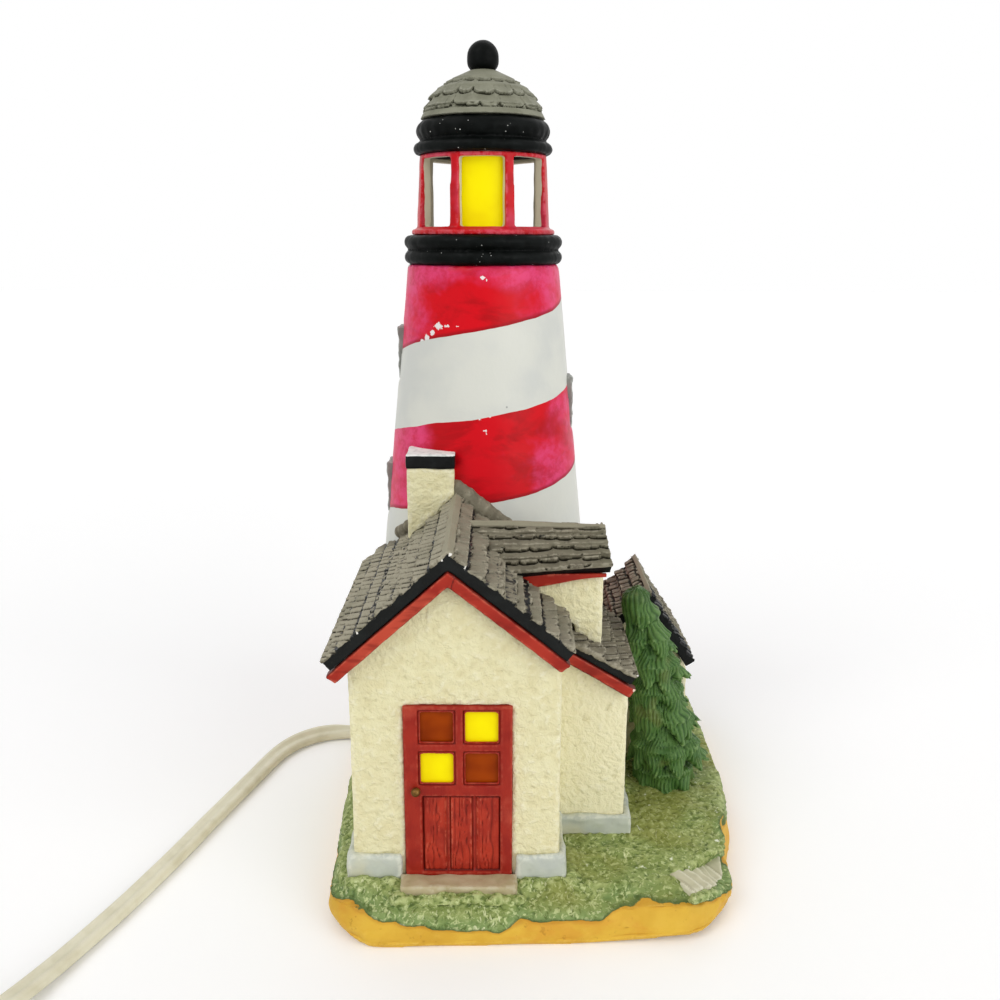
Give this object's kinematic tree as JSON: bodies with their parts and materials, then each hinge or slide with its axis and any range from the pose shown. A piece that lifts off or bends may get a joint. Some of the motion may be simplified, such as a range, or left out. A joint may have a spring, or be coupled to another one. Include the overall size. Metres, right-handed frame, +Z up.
{
  "type": "lighthouse table lamp",
  "caption": "Hollow ceramic table lamp in the form of a banded lighthouse with a cottage at its foot, lit from inside by a small bulb, with a corded in-line switch and plug.",
  "frame": {"origin": "middle of the underside that the lamp stands on, measured without the cord", "axes": "+Z up along the tower, -Y is the front with the cottage door, +X to the right of the door"},
  "size_m": [0.179, 0.2831, 0.2074],
  "materials": {
    "sand_paint": "matt hand-painted ceramic, sandy ochre",
    "grass_paint": "matt hand-painted ceramic, mottled grass green",
    "stone_paint": "matt hand-painted ceramic, pale stone",
    "step_paint": "matt hand-painted ceramic, beige stone",
    "plinth_paint": "matt hand-painted ceramic, grey stone",
    "stucco": "cream glaze over stippled plaster texture",
    "door_paint": "dark red brushed paint over carved wood grain",
    "knob_paint": "dull brown paint",
    "yellow_pane": "translucent yellow film",
    "amber_pane": "translucent amber film",
    "board_paint": "brick red brushed paint",
    "shingle_paint": "dry-brushed grey over black shingles",
    "black_paint": "satin black paint, chipped to white at the edges",
    "tree_paint": "matt fir green, paler on the raised needles",
    "tower_paint": "glossy white glaze with worn red hand-painted bands",
    "frame_paint": "satin grey paint",
    "red_paint": "glossy red paint, bare inside",
    "dome_paint": "dry-brushed grey shingles",
    "holder_plastic": "ivory moulded plastic",
    "spring_steel": "bright spring steel",
    "contact_brass": "bright brass",
    "bulb_glass": "frosted glass",
    "bulb_base_metal": "rolled aluminium thread",
    "filament_wire": "tungsten wire on a glass stem",
    "cord_pvc": "aged ivory flexible vinyl, slightly glossy",
    "tie_plastic": "white plastic band",
    "switch_plastic": "ivory moulded plastic",
    "wheel_plastic": "ivory ribbed plastic",
    "screw_steel": "zinc-plated steel",
    "plug_pvc": "moulded ivory vinyl",
    "blade_metal": "plated brass"
  },
  "bodies": {
    "lamp": {"sand_base": "sand_paint", "grass_mound": "grass_paint", "stone_steps": "stone_paint", "doorstep": "step_paint", "cottage_plinth": "plinth_paint", "cottage_walls": "stucco", "door": "door_paint", "door_knob": "knob_paint", "yellow_door_panes": "yellow_pane", "amber_door_panes": "amber_pane", "cottage_bargeboard": "board_paint", "cottage_roof": "shingle_paint", "wing_plinth": "plinth_paint", "wing_walls": "stucco", "wing_bargeboard": "board_paint", "wing_roof": "shingle_paint", "dormer_walls": "stucco", "dormer_fascia": "board_paint", "dormer_roof": "shingle_paint", "chimney": "stucco", "chimney_cap": "black_paint", "rear_house_walls": "stucco", "rear_house_roof": "shingle_paint", "fir_tree": "tree_paint", "tower_shell": "tower_paint", "tower_window_frames": "frame_paint", "gallery_rings": "black_paint", "lantern_room": "red_paint", "lantern_pane": "yellow_pane", "dome_rings": "black_paint", "dome_roof": "dome_paint", "finial_ball": "black_paint", "lampholder_body": "holder_plastic", "lampholder_cap": "holder_plastic", "spring_clips": "spring_steel", "screw_shell": "contact_brass", "centre_contact": "contact_brass", "cord_lamp_side": "cord_pvc", "cord_switch_side": "cord_pvc", "cord_coil": "cord_pvc", "cord_plug_side": "cord_pvc", "coil_tie": "tie_plastic", "switch_lower_shell": "switch_plastic", "switch_upper_shell": "switch_plastic", "switch_screws": "screw_steel", "plug_body": "plug_pvc", "plug_blades": "blade_metal"},
    "bulb": {"bulb_glass": "bulb_glass", "bulb_base": "bulb_base_metal", "bulb_filament": "filament_wire"},
    "wheel": {"switch_wheel": "wheel_plastic"}
  },
  "joints": [
    {"name": "bulb_unscrew", "type": "slide", "parent": "lamp", "child": "bulb", "axis": [0, 0, 1], "range_m": [0, 0.012]},
    {"name": "switch_turn", "type": "hinge", "parent": "lamp", "child": "wheel", "pos_m": [-0.115, -0.121, 0.0047], "axis": [0, 0, 1], "continuous": true}
  ]
}
